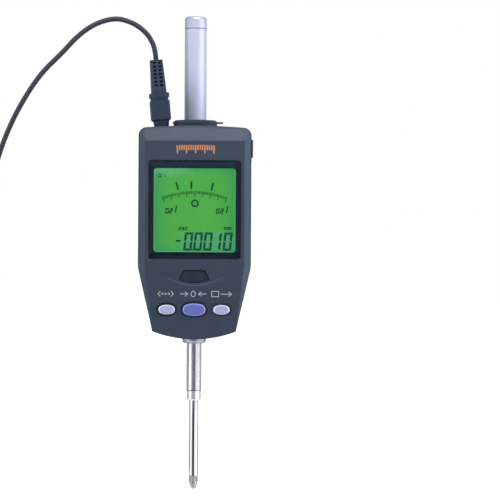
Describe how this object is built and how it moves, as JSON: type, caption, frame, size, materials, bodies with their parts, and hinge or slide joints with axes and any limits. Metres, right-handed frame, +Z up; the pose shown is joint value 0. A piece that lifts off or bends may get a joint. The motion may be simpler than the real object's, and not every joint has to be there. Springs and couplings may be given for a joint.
{
  "type": "digital dial indicator",
  "caption": "Hand-sized digital dial indicator with a backlit display, oval keys, a plunging spindle in a clamping stem, a tall spindle cover and a power lead.",
  "frame": {"origin": "on the spindle's axis, half way along the clamping stem's cylinder", "axes": "+Z up along the spindle towards its cover, -Y out of the display, +X to the right as the display is read"},
  "size_m": [0.2919, 0.0471, 0.2515],
  "materials": {
    "housing_plastic": "fine-grained moulded plastic, dark blue-grey",
    "dark_plastic": "dark moulded plastic",
    "key_lavender": "smooth lavender plastic",
    "key_violet": "smooth blue-violet plastic",
    "window_clear": "clear hard-coated window",
    "mask_ink": "dark navy printed border",
    "lcd_green": "green backlit liquid crystal display",
    "light_guide": "white light guide",
    "board_green": "green solder mask",
    "ir_dark": "dark infrared window",
    "stem_steel": "ground and polished steel",
    "spindle_steel": "polished hardened steel",
    "cover_steel": "satin metal tube",
    "cap_metal": "satin metal cap",
    "point_steel": "grey steel contact point",
    "carbide": "grey carbide ball",
    "cast_alloy": "cast alloy",
    "bearing_bronze": "bearing bronze",
    "black_rubber": "black rubber",
    "scale_glass": "graduated glass",
    "fastener_steel": "plain steel",
    "collar_dark": "dark satin ring",
    "plug_plastic": "dark soft plastic",
    "cord_sheath": "dark flexible sheath",
    "tie_strap": "black hook strap",
    "adapter_plastic": "black moulded plastic",
    "contact_nickel": "nickel-plated contacts"
  },
  "bodies": {
    "housing": {"front_housing": "housing_plastic", "rear_cover": "housing_plastic", "housing_seal": "black_rubber", "rear_cover_screws": "fastener_steel", "display_window": "window_clear", "window_mask": "mask_ink", "lcd_panel": "lcd_green", "backlight": "light_guide", "lcd_holder": "dark_plastic", "ir_window": "ir_dark", "ir_receiver": "ir_dark", "main_board": "board_green", "board_screws": "fastener_steel", "key_mat": "black_rubber", "data_port": "dark_plastic", "chassis": "cast_alloy", "guide_rod": "fastener_steel", "stem": "stem_steel", "stem_nut": "fastener_steel", "stem_end_bush": "stem_steel", "lower_bush": "bearing_bronze", "upper_bush": "bearing_bronze", "upper_nut": "fastener_steel", "lower_stop": "black_rubber", "upper_stop": "black_rubber", "encoder_head": "dark_plastic", "encoder_board": "board_green", "encoder_screws": "fastener_steel", "return_spring": "fastener_steel", "top_collar": "collar_dark", "collar_clip": "collar_dark", "spindle_cover_tube": "cover_steel", "spindle_cover_cap": "cap_metal", "dc_jack": "dark_plastic", "plug_barrel": "contact_nickel", "plug_grip": "plug_plastic", "plug_strain_relief": "plug_plastic", "power_cord": "cord_sheath", "cord_coil": "cord_sheath", "cord_tie": "tie_strap", "adapter_lead": "cord_sheath", "adapter_strain_relief": "adapter_plastic", "adapter_case": "adapter_plastic", "adapter_lid": "adapter_plastic", "adapter_blades": "contact_nickel"},
    "spindle": {"spindle": "spindle_steel", "contact_point": "point_steel", "contact_ball": "carbide", "scale_holder": "cast_alloy", "glass_scale": "scale_glass", "holder_screw": "fastener_steel", "spindle_top_nut": "fastener_steel"},
    "mode_button": {"mode_button": "key_lavender"},
    "zero_button": {"zero_button": "key_violet"},
    "data_button": {"data_button": "key_lavender"},
    "port_cover": {"port_cover": "dark_plastic"}
  },
  "joints": [
    {"name": "spindle_slide", "type": "slide", "parent": "housing", "child": "spindle", "axis": [0, 0, 1], "range_m": [0, 0.0304], "stiffness_N_per_m": 20, "springref_m": -0.05, "deforming": ["return_spring"]},
    {"name": "mode_button_press", "type": "slide", "parent": "housing", "child": "mode_button", "axis": [0, 1, 0], "range_m": [0, 0.0008], "stiffness_N_per_m": 300, "springref_m": -0.0005},
    {"name": "zero_button_press", "type": "slide", "parent": "housing", "child": "zero_button", "axis": [0, 1, 0], "range_m": [0, 0.0008], "stiffness_N_per_m": 300, "springref_m": -0.0005},
    {"name": "data_button_press", "type": "slide", "parent": "housing", "child": "data_button", "axis": [0, 1, 0], "range_m": [0, 0.0008], "stiffness_N_per_m": 300, "springref_m": -0.0005},
    {"name": "port_cover_slide", "type": "slide", "parent": "housing", "child": "port_cover", "axis": [0, 0, -1], "range_m": [0, 0.011]}
  ]
}
